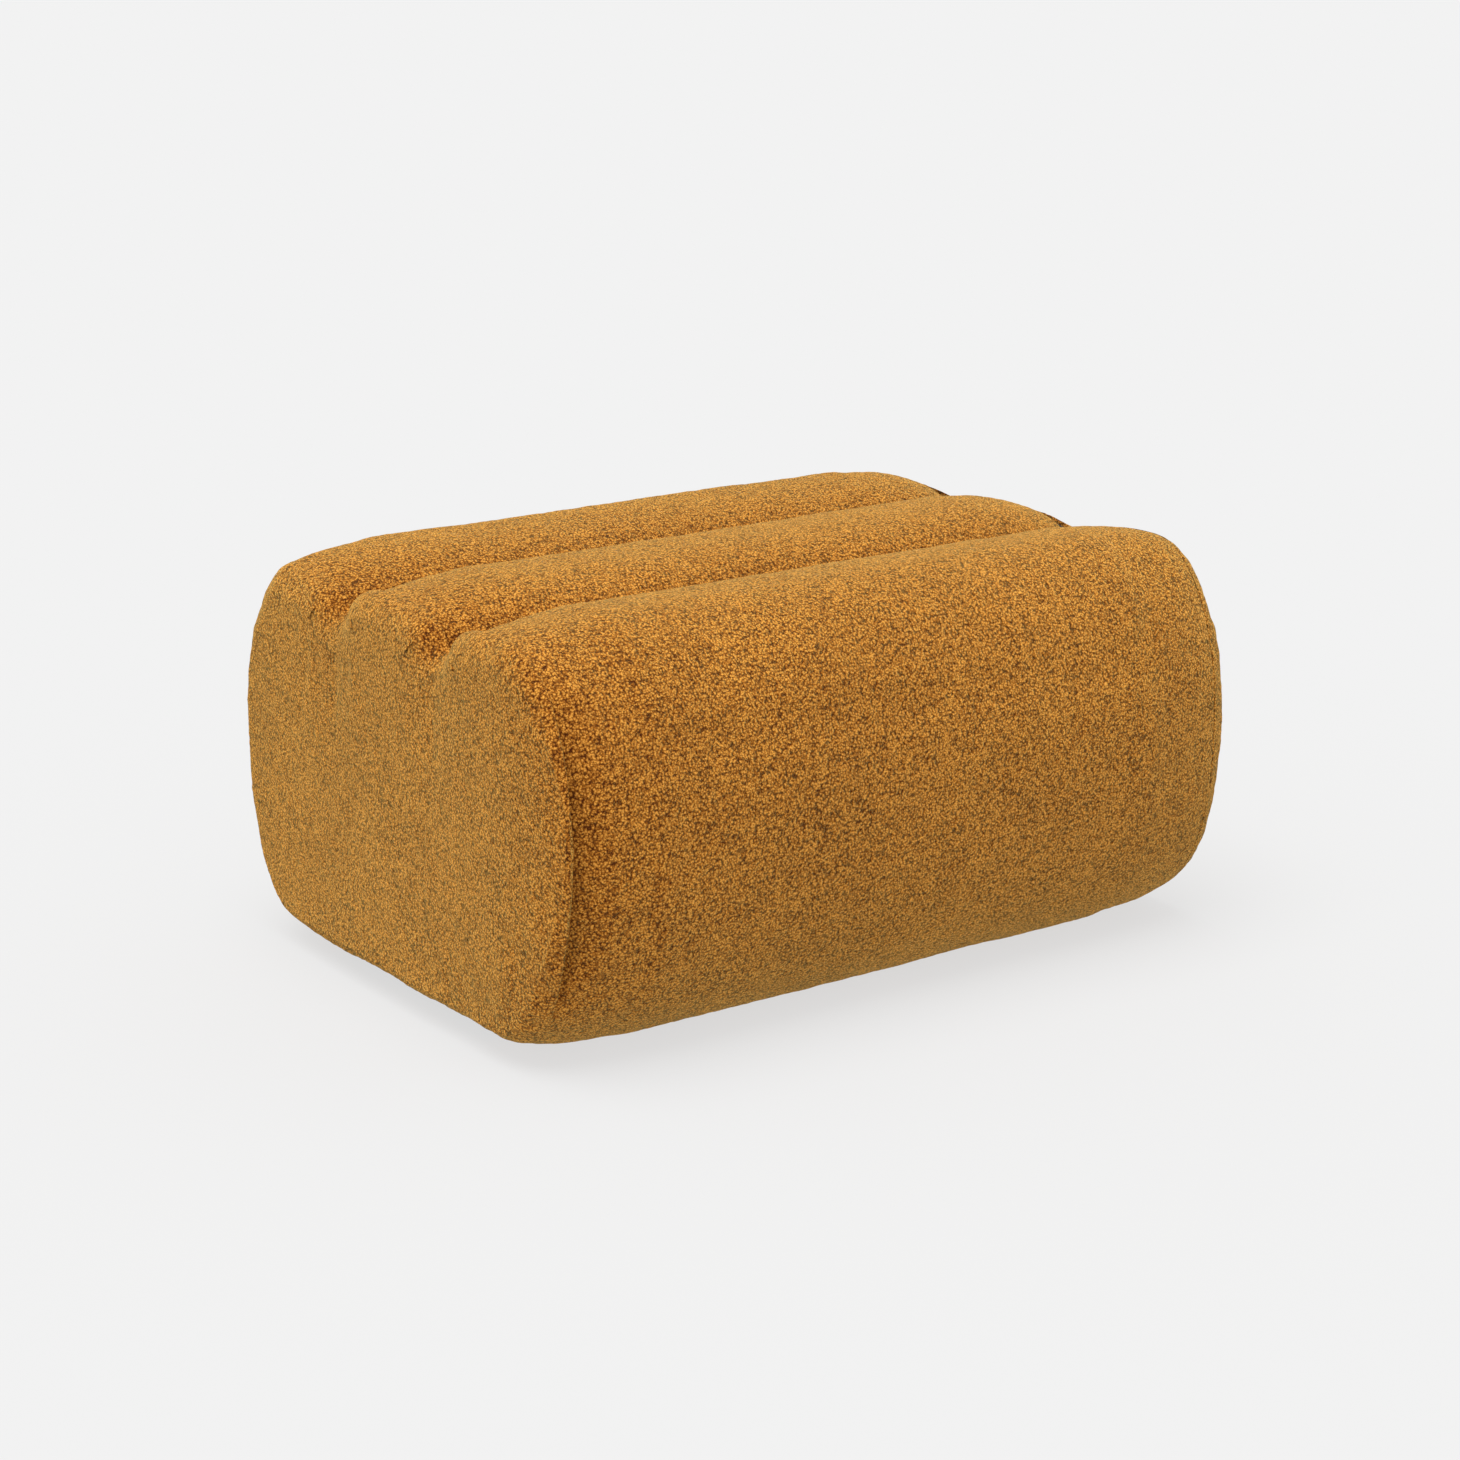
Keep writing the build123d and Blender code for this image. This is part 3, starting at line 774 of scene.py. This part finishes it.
def filled(rings, spacing):
    """Triangulates the flat inside of a closed loop of 3-D points at one x.
    Gives the new points and the faces; loop points keep their places in the list."""
    loop = rings[:, 1:]
    low, high = loop.min(0), loop.max(0)
    ys = np.arange(low[0], high[0], spacing)
    zs = np.arange(low[1], high[1], spacing * 0.866)
    grid = np.array([(y + spacing / 2 * (j % 2), z) for j, z in enumerate(zs) for y in ys])
    after = np.roll(loop, -1, 0)
    inside = np.zeros(len(grid), bool)
    nearest = np.full(len(grid), np.inf)
    for (y0, z0), (y1, z1) in zip(loop, after):
        crosses = (z0 > grid[:, 1]) != (z1 > grid[:, 1])
        if z1 != z0:
            inside ^= crosses & (grid[:, 0] < (y1 - y0) * (grid[:, 1] - z0) / (z1 - z0) + y0)
        nearest = np.minimum(nearest, np.hypot(grid[:, 0] - y0, grid[:, 1] - z0))
    inner = grid[inside & (nearest > spacing * 0.6)]
    flat = [Vector(p) for p in loop] + [Vector(p) for p in inner]
    edges = [(i, (i + 1) % len(loop)) for i in range(len(loop))]
    whole = [list(range(len(loop)))]
    found, _, faces, origin, _, _ = delaunay_2d_cdt(flat, edges, whole, 1, 1e-7)
    extra = [index for index, source in enumerate(origin) if not source]
    place = {index: source[0] for index, source in enumerate(origin) if source}
    place.update({index: len(flat) + n for n, index in enumerate(extra)})
    faces = [[place[v] for v in face] for face in faces]
    inner = np.array([*inner, *[found[index] for index in extra]])
    added = np.concatenate([np.full((len(inner), 1), rings[0, 0]), inner], axis=1)
    return added, faces


def closed_off(points, faces, loop, spacing, flip, turn=(0, 1, 2)):
    """Points and faces with the flat inside of a loop of vertices added.
    turn gives the order of the axes that puts the flat one first."""
    turn = list(turn)
    added, inner = filled(points[loop][:, turn], spacing)
    added = added[:, np.argsort(turn)]
    places = np.concatenate([loop, len(points) + np.arange(len(added))])
    inner = [[int(places[v]) for v in face] for face in inner]
    faces = faces + ([face[::-1] for face in inner] if flip else inner)
    return np.concatenate([points, added]), faces


def front_path():
    """From the underside round the front roll into its groove and over the box's front wall."""
    y = -(GROOVE_Y + GROOVE_GAP)
    over = wall_high.z + 0.0006
    inside = wall_high.y + 0.0014
    return joined(
        straight([(-0.142, UNDERSIDE + 0.0006), (-DEPTH / 2 + BOTTOM_RUN, UNDERSIDE)], 1.0),
        outer(TOP_FRONT),
        flank(-CROWN_Y, TOP_FRONT, y),
        straight([(y, GROOVE_Z), (y, over), (inside, over), (inside, over - 0.02)], fillet=0.002),
    )


def lid_path():
    """From under the lid's front edge over both its rolls and into the hinge recess."""
    wall = -(GROOVE_Y - GROOVE_GAP)
    under = lid_low.z + 0.0004
    lip = (HINGE.y - RECESS_INSET, HINGE.z + RECESS_LIP)
    back = mirrored(outer(TOP_REAR))
    back = back[back[:, 1] > lip[1] + (back[:, 0] - lip[0]) * RECESS_SLOPE]
    mouth = back[-1, :2].copy()
    path = joined(
        straight([(wall + 0.014, under), (wall, under), (wall, GROOVE_Z)], fillet=0.003),
        mirrored(flank(0, TOP_MIDDLE, -wall)),
        flank(0, TOP_MIDDLE, -wall),
        mirrored(flank(-CROWN_Y, TOP_REAR, -(GROOVE_Y + GROOVE_GAP))),
        back,
        into_recess([mouth, lip, (board_high.y + 0.0008, board_low.z + 0.0006)], mouth),
    )
    return softened(path, mouth, MOUTH_REACH)


def into_recess(points, mouth):
    """A run into the hinge recess; it follows the end rounding only near the recess's mouth."""
    run = straight(points, 0.0, 1.0, 0.002)
    run[:, 2] = smooth(run[:, 0], HINGE.y - RECESS_INSET, mouth[0])
    return run


def rear_path():
    """From over the hinge rail out of the recess and down the back to the underside."""
    lip = (HINGE.y - RECESS_INSET, HINGE.z - RECESS_LIP)
    over = rail_high.z + 0.0007
    back = mirrored(outer(TOP_REAR))
    back = back[back[:, 1] < lip[1] - (back[:, 0] - lip[0]) * RECESS_SLOPE]
    mouth = back[0, :2].copy()
    path = joined(
        into_recess([(rail_low.y + 0.003, over), (rail_high.y + 0.0008, over), lip, mouth], mouth),
        back,
        straight([(DEPTH / 2 - BOTTOM_RUN, UNDERSIDE), (0.142, UNDERSIDE + 0.0006)], 1.0),
    )
    return softened(path, mouth, MOUTH_REACH)


def end_path():
    """The whole closed outline, without its last point."""
    y = DEPTH / 2 - BOTTOM_RUN
    wide, narrow = GROOVE_Y + GROOVE_GAP, GROOVE_Y - GROOVE_GAP
    path = joined(
        straight([(0, UNDERSIDE), (-y, UNDERSIDE)], 1.0),
        outer(TOP_FRONT),
        flank(-CROWN_Y, TOP_FRONT, -wide, END_GROOVE_Z),
        mirrored(flank(0, TOP_MIDDLE, narrow, END_GROOVE_Z)),
        flank(0, TOP_MIDDLE, narrow, END_GROOVE_Z),
        mirrored(flank(-CROWN_Y, TOP_REAR, -wide, END_GROOVE_Z)),
        mirrored(outer(TOP_REAR)),
        straight([(y, UNDERSIDE), (0, UNDERSIDE)], 1.0),
    )
    for side in (-1, 1):
        path = softened(path, (side * GROOVE_Y, END_GROOVE_Z), 0.026)
    return path[:-1]


def cover(name, body, path, half, nodes, tuck=None, walls=False):
    """A boucle cover swept along X, with closed ends where walls is set."""
    sheet = swept(path, half, tuck)
    rows, columns = sheet.shape[:2]
    points = sheet.reshape(-1, 3)
    faces = grid_faces(rows, columns)
    if walls:
        for column, flip in ((0, True), (columns - 1, False)):
            loop = np.arange(rows) * columns + column
            points, faces = closed_off(points, faces, loop, 0.005, flip)
    piece = make_object(name, points, faces, boucle, body)
    settle_cloth(piece, lambda p: held_in_roll(p, half))
    add_pile(piece)
    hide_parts(*nodes)
    return piece


def held_in_roll(points, half):
    """The parts of a front, lid or rear cover that are sewn or stapled down."""
    x, y, z = np.abs(points.T)
    ends = x > half - HELD_BAND
    groove = (np.abs(y - GROOVE_Y) < 0.006) & (z < GROOVE_Z + 0.012)
    recess = (np.abs(z - HINGE.z) < 0.010) & (y > HINGE.y - 0.020)
    under = (z < UNDERSIDE + HELD_BAND) | recess
    board = (y < GROOVE_Y) & (z < wall_high.z + 0.012)
    return ends | groove | under | board


def held_in_end(points):
    """The part of an end cover that is sewn down all round."""
    seam = np.abs(points[:, 0]) < LIP_X + HELD_BAND
    return seam | (points[:, 2] < UNDERSIDE + HELD_BAND)


def make_end_cover(end, hand):
    """An end panel with its rounded edge, from the seam to the flat face."""
    path = end_path()
    deep = front_share(path)[:, None] * (1.0 if end is LEFT else 0.0)
    edge = SEAM_EDGE + (RIM_EDGE - SEAM_EDGE) * deep
    tuck = SEAM_TUCK + (RIM_TUCK - SEAM_TUCK) * deep
    angles = np.linspace(math.pi / 2, 0, 4)
    lip = LIP_X + seam_shift(path)[:, None]
    lip_x = np.concatenate([lip + 0.0008, lip], axis=1)
    lip_depth = np.concatenate([tuck, tuck * 0.6], axis=1)
    rim_x = lip + edge * (1 - np.sin(angles))
    rim_depth = edge * (1 - np.cos(angles))
    start = (LIP_X + SEAM_SHIFT + RIM_EDGE + 0.0004 - (LENGTH / 2 - end.shoulder)) / end.shoulder
    first = math.asin(start ** (end.power / 2))
    theta = np.linspace(first, math.pi / 2, 17)
    round_x = LENGTH / 2 - end.shoulder * (1 - np.sin(theta) ** (2 / end.power))
    round_x = np.broadcast_to(round_x, (len(path), len(theta)))
    x = np.concatenate([lip_x, rim_x, round_x], axis=1)
    depth = np.concatenate([lip_depth, rim_depth, 0 * round_x], axis=1)
    gather = (GATHER + RIM_GATHER * deep) * puckers(path, 11)[:, None]
    gather = gather * np.exp(-np.abs(x - lip) / 0.012)
    depth = depth + gather * path[:, 2:3]
    sheet = sections(path, end.side * x, depth, end, True, edge_radius(path))
    rings = sheet.transpose(1, 0, 2)
    rows, columns = rings.shape[:2]
    points = rings.reshape(-1, 3)
    outward = end.side < 0
    faces = grid_faces(rows, columns, closed=True, flip=not outward)
    last = (rows - 1) * columns + np.arange(columns)
    points, faces = closed_off(points, faces, last, 0.003, flip=outward)
    points[:, 0] -= end.side * (face_folds(points) + flattened(points, end))
    name = f"end_cover_{hand}_padded"
    piece = make_object(name, points, faces, boucle, "base")
    settle_cloth(piece, held_in_end)
    add_pile(piece)
    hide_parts(f"end_cover_{hand}", f"end_pad_{hand}")
    return piece


def flattened(points, end):
    """How far the panel leans in towards its front rim, so that it stays flat up to it."""
    outermost = LIP_X + SEAM_SHIFT + RIM_EDGE
    share = np.clip((np.abs(points[:, 0]) - outermost) / (LENGTH / 2 - outermost), 0, 1)
    lean = np.clip((-points[:, 1] - LEAN_FROM) / LEAN_RUN, 0, 1) ** LEAN_POWER
    return end.dome * share * lean


def face_folds(points):
    """Depth of the soft folds that run down an end panel from each groove."""
    y, z = points[:, 1], points[:, 2]
    flat = smooth(np.abs(points[:, 0]), LENGTH / 2 - 0.012, LENGTH / 2)
    fade = smooth(z, 0.17, END_GROOVE_Z - 0.02)
    width = FOLD_WIDTH + FOLD_SPREAD * (1 - fade)
    depth = sum(bell(y, side * GROOVE_Y, width) for side in (-1, 1))
    return FOLD_DEPTH * depth * fade * flat


# ---- Linings ----


def facing_path():
    """The part of an end's outline that the raised lid uncovers."""
    wall = -(GROOVE_Y - GROOVE_GAP)
    back = mirrored(outer(TOP_REAR))
    return joined(
        straight([(wall, wall_high.z), (wall, END_GROOVE_Z)]),
        mirrored(flank(0, TOP_MIDDLE, -wall, END_GROOVE_Z)),
        flank(0, TOP_MIDDLE, -wall, END_GROOVE_Z),
        mirrored(flank(-CROWN_Y, TOP_REAR, -(GROOVE_Y + GROOVE_GAP), END_GROOVE_Z)),
        back[back[:, 1] > wall_high.z],
        step=0.004,
    )


def make_facing(end, hand):
    """The cloth on the inner side of an end panel, seen when the lid is up."""
    path = facing_path()
    lip = np.array([[end.side * LIP_X]])
    loop = sections(path, lip, 0.0050, end, radius=edge_radius(path))[:, 0]
    loop[:, 0] = end.side * FACING_X
    added, faces = filled(loop, 0.004)
    points = np.concatenate([loop, added])
    points[:, 0] -= end.side * 0.0006 * (lumps(points, 0.035, 21) * 0.5 + 0.5)
    if end.side > 0:
        faces = [face[::-1] for face in faces]
    piece = make_object(f"cheek_lining_{hand}", points, faces, lining, "base")
    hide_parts(f"cheek_facing_{hand}")


def rounded_rectangle(half_x, y0, y1, radius):
    """A ring of points, always with the same number on each side and corner."""
    found = []
    corners = [(half_x, y1, 0), (-half_x, y1, 90), (-half_x, y0, 180), (half_x, y0, 270)]
    counts = [150, 66, 150, 66]
    for index, (cx, cy, start) in enumerate(corners):
        ox, oy = cx - math.copysign(radius, cx), cy + (-radius if cy == y1 else radius)
        arc = [math.radians(start + 90 * t) for t in np.linspace(0, 1, 6)]
        curve = [(ox + radius * math.cos(a), oy + radius * math.sin(a)) for a in arc]
        found += curve
        nx, ny, n_start = corners[(index + 1) % 4]
        nox = nx - math.copysign(radius, nx)
        noy = ny + (-radius if ny == y1 else radius)
        a = math.radians(n_start)
        target = (nox + radius * math.cos(a), noy + radius * math.sin(a))
        for t in np.linspace(0, 1, counts[index] + 1)[1:-1]:
            found.append(tuple(np.array(curve[-1]) * (1 - t) + np.array(target) * t))
    return np.array(found)


def make_bin_lining():
    """The open fabric box inside the bin, with a folded hem."""
    thickness = 0.0012
    half_x = lining_high.x - thickness
    y0, y1 = lining_low.y + thickness, lining_high.y - thickness
    top, low = lining_high.z, lining_low.z + thickness
    corner = 0.010
    rows = [(-0.0010, top - 0.004), (-0.0011, top), (-0.0004, top + 0.0007), (0.0004, top)]
    rows += [(0.0004, top - 0.010), (0.0, top - 0.0115), (0.0003, top - 0.013)]
    rows += [(0.0, z) for z in np.linspace(top - 0.018, low + corner, 36)]
    for angle in np.linspace(0, math.pi / 2, 6)[1:]:
        rows.append((corner * (1 - math.cos(angle)), low + corner * (1 - math.sin(angle))))
    rings = []
    for inset, z in rows:
        ring = rounded_rectangle(half_x - inset, y0 + inset, y1 - inset, 0.012)
        rings.append(np.concatenate([ring, np.full((len(ring), 1), z)], axis=1))
    rings = np.array(rings)
    count, columns = rings.shape[:2]
    points = rings.reshape(-1, 3)
    faces = grid_faces(count, columns, closed=True)
    last = (count - 1) * columns + np.arange(columns)
    points, faces = closed_off(points, faces, last, 0.0065, flip=False, turn=(2, 0, 1))
    middle = np.array([0, (y0 + y1) / 2, 0])
    away = points - middle
    slack = smooth(top - points[:, 2], 0.012, 0.05)
    folds = lumps(points * np.array([1, 1, 0.35]), 0.03, 31) + 0.6 * lumps(points, 0.075, 32)
    wave = 0.0011 * (folds + 1.2) * slack
    wall_x = smooth(np.abs(away[:, 0]), half_x - 0.02, half_x - 0.002)
    wall_y = smooth(np.abs(away[:, 1]), (y1 - y0) / 2 - 0.02, (y1 - y0) / 2 - 0.002)
    points[:, 0] -= np.sign(away[:, 0]) * wave * wall_x
    points[:, 1] -= np.sign(away[:, 1]) * wave * wall_y
    ground = 1 - smooth(points[:, 2], low, low + 0.02)
    points[:, 2] += wave * ground
    piece = make_object("bin_lining_sewn", points, faces, lining, "base")
    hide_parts("bin_lining")


HEM_THICKNESS = 0.0007
PANEL_STEP = 0.005


def make_panel(name, nodes, body, material, corners, rise):
    """A hemmed cloth panel, seen from below; rise gives the height at each x."""
    x0, x1, y0, y1 = corners
    xs = np.linspace(x0, x1, int((x1 - x0) / PANEL_STEP) + 1)
    ys = np.linspace(y0, y1, int((y1 - y0) / PANEL_STEP) + 1)
    xs = np.concatenate([[x0, x0], xs, [x1, x1]])
    ys = np.concatenate([[y0, y0], ys, [y1, y1]])
    grid_x, grid_y = np.meshgrid(xs, ys)
    points = np.stack([grid_x, grid_y, 0 * grid_x], axis=-1)
    points[..., 2] = rise(grid_x, grid_y)
    edge_x = np.minimum(grid_x - x0, x1 - grid_x)
    edge = np.minimum(edge_x, np.minimum(grid_y - y0, y1 - grid_y))
    hem = 1 - smooth(edge, 0.0115, 0.0145)
    flat = points.reshape(-1, 3)
    sway = lumps(flat, 0.05, 41) * 0.5 + lumps(flat, 0.12, 42) * 0.5
    sway = (sway * 0.0007).reshape(edge.shape) * smooth(edge, 0.012, 0.05)
    points[..., 2] += sway - HEM_THICKNESS * hem
    for outer_row in (0, -1):
        points[outer_row, :, 2] += 0.0012
        points[:, outer_row, 2] += 0.0012
    rows, columns = edge.shape
    faces = grid_faces(rows, columns, flip=True)
    piece = make_object(name, points.reshape(-1, 3), faces, material, body)
    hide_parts(*nodes)


def make_linings():
    """The linings of both cheeks, the bin and the lid, and the dust cloth underneath."""
    make_facing(LEFT, "left")
    make_facing(RIGHT, "right")
    make_bin_lining()
    x = lid_lining_high.x - 0.0015
    lid_corners = (-x, x, lid_lining_low.y + 0.0085, lid_lining_high.y - 0.0008)
    lid_z = lid_lining_low.z + 0.0004

    def lid_rise(x, y):
        return lid_z + 0 * x

    make_panel(
        "lid_lining_hemmed", ["lid_lining"], "lid", lining, lid_corners, lid_rise
    )

    def under(x, y):
        left = LEFT.bottom * LEFT.share(x) * (x < 0)
        right = RIGHT.bottom * RIGHT.share(x) * (x > 0)
        return UNDERSIDE + 0.0003 + left + right

    x = COVER_HALF - 0.0005
    dust_corners = (-x, x, dust_low.y + 0.003, dust_high.y - 0.003)
    make_panel(
        "dust_cloth_stapled", ["dust_cover"], "base", dust_cloth, dust_corners, under
    )


def finish_nodes():
    """Real finishes on the wood, steel, plastic and rubber parts."""
    kinds = [
        (("end_board", "front_board", "rear_board", "bin_front_wall", "bin_floor"), plywood),
        (("front_deck", "front_rib", "lid_board"), plywood),
        (("front_rail", "rear_rail", "side_rail", "cross_rail", "hinge_rail"), rail_wood),
        (("hinge_base", "hinge_lid", "hinge_pin", "base_screw", "lid_screw"), steel),
        (("glide",), glide_plastic),
        (("lid_rest_strip",), rest_rubber),
        (("base_pad",), foam),
    ]
    for prefixes, material in kinds:
        for name, node in frame["nodes"].items():
            if name.startswith(prefixes):
                node.data.materials.clear()
                node.data.materials.append(material)


front_outline = front_path()
inner_share = np.where(front_outline[:, 2] > 0, 1.0, 0.25)
front_nodes = ["front_cover", "front_roll_foam", "front_face_foam", "front_corner_foam"]
cover("front_roll_cover", "base", front_outline, COVER_HALF, front_nodes, inner_share)
rear_outline = rear_path()
rear_nodes = ["rear_cover", "rear_face_foam", "rear_top_foam", "rear_corner_foam"]
cover("rear_panel_cover", "base", rear_outline, COVER_HALF, rear_nodes)
lid_outline = lid_path()
wall_part = (lid_outline[:, 2] == 0) & (lid_outline[:, 0] < -0.06)
lid_tuck = np.where(wall_part | (lid_outline[:, 3] > 0.5), 0.25, 1.0)
lid_nodes = ["lid_cover", "lid_foam_middle", "lid_foam_rear"]
cover("lid_rolls_cover", "lid", lid_outline, LID_HALF, lid_nodes, lid_tuck, walls=True)
make_end_cover(LEFT, "left")
make_end_cover(RIGHT, "right")
make_linings()
finish_nodes()

# ---- Stage ----
PALE = 0.888  # linear brightness of the plain backdrop, which the lit floor has to match
SKY = 1.00
SUN_STRENGTH = 2.90
SUN_ANGLE = math.radians(50)
SUN_TILT_BACK = math.radians(-4)
SUN_TILT_LEFT = math.radians(13)
FLOOR_HALF = 60.0
FLOOR_ALBEDO = 0.12
sun_down = math.cos(SUN_TILT_BACK) * math.cos(SUN_TILT_LEFT)
FLOOR_GLOW = PALE - FLOOR_ALBEDO * (SKY + SUN_STRENGTH * sun_down / math.pi)


def make_floor():
    """A pale floor that runs on to the horizon and takes only a faint shadow."""
    mesh = bpy.data.meshes.new("floor")
    half = FLOOR_HALF
    corners = [(-half, -half, 0), (half, -half, 0), (half, half, 0), (-half, half, 0)]
    mesh.from_pydata(corners, [], [(0, 1, 2, 3)])
    m = Nodes("floor_paint")
    m.shader.inputs["Base Color"].default_value = (FLOOR_ALBEDO,) * 3 + (1.0,)
    m.set(Roughness=1.0, Specular_IOR_Level=0.0)
    m.shader.inputs["Emission Color"].default_value = (1, 1, 1, 1)
    m.shader.inputs["Emission Strength"].default_value = FLOOR_GLOW
    mesh.materials.append(m.material)
    floor = bpy.data.objects.new("floor", mesh)
    bpy.context.scene.collection.objects.link(floor)


def make_lights():
    """An even white sky and one broad sun."""
    world = bpy.data.worlds.new("studio")
    world.use_nodes = True
    world.node_tree.nodes["Background"].inputs["Color"].default_value = (1, 1, 1, 1)
    world.node_tree.nodes["Background"].inputs["Strength"].default_value = SKY
    bpy.context.scene.world = world
    data = bpy.data.lights.new("key", "SUN")
    data.energy = SUN_STRENGTH
    data.angle = SUN_ANGLE
    key = bpy.data.objects.new("key", data)
    key.rotation_euler = (-SUN_TILT_BACK, -SUN_TILT_LEFT, 0)
    bpy.context.scene.collection.objects.link(key)


CAMERA_AZIMUTH = math.radians(35.485)
CAMERA_PITCH = math.radians(16.18)
CAMERA_DISTANCE = 3.2588
CAMERA_LENS = 78.33
CAMERA_AIM = (0.0157, -0.0169)  # how far the aim lies right of and above the body's middle
CAMERA_SHIFT = (-0.01322, 0.00966)
CAMERA_CLIP_END = 200


def make_camera():
    """The camera that was fitted to the photograph."""
    data = bpy.data.cameras.new("camera")
    data.lens = CAMERA_LENS
    data.shift_x, data.shift_y = CAMERA_SHIFT
    data.clip_end = CAMERA_CLIP_END
    camera = bpy.data.objects.new("camera", data)
    forward = Vector((
        math.sin(CAMERA_AZIMUTH) * math.cos(CAMERA_PITCH),
        math.cos(CAMERA_AZIMUTH) * math.cos(CAMERA_PITCH),
        -math.sin(CAMERA_PITCH),
    ))
    right = Vector((math.cos(CAMERA_AZIMUTH), -math.sin(CAMERA_AZIMUTH), 0))
    up = right.cross(forward)
    middle = Vector((0, 0, (HEIGHT + UNDERSIDE) / 2))
    aim = middle + right * CAMERA_AIM[0] + up * CAMERA_AIM[1]
    camera.location = aim - forward * CAMERA_DISTANCE
    camera.rotation_euler = forward.to_track_quat("-Z", "Y").to_euler()
    bpy.context.scene.collection.objects.link(camera)
    bpy.context.scene.camera = camera


make_floor()
make_lights()
make_camera()
bpy.context.scene.view_settings.view_transform = "Standard"
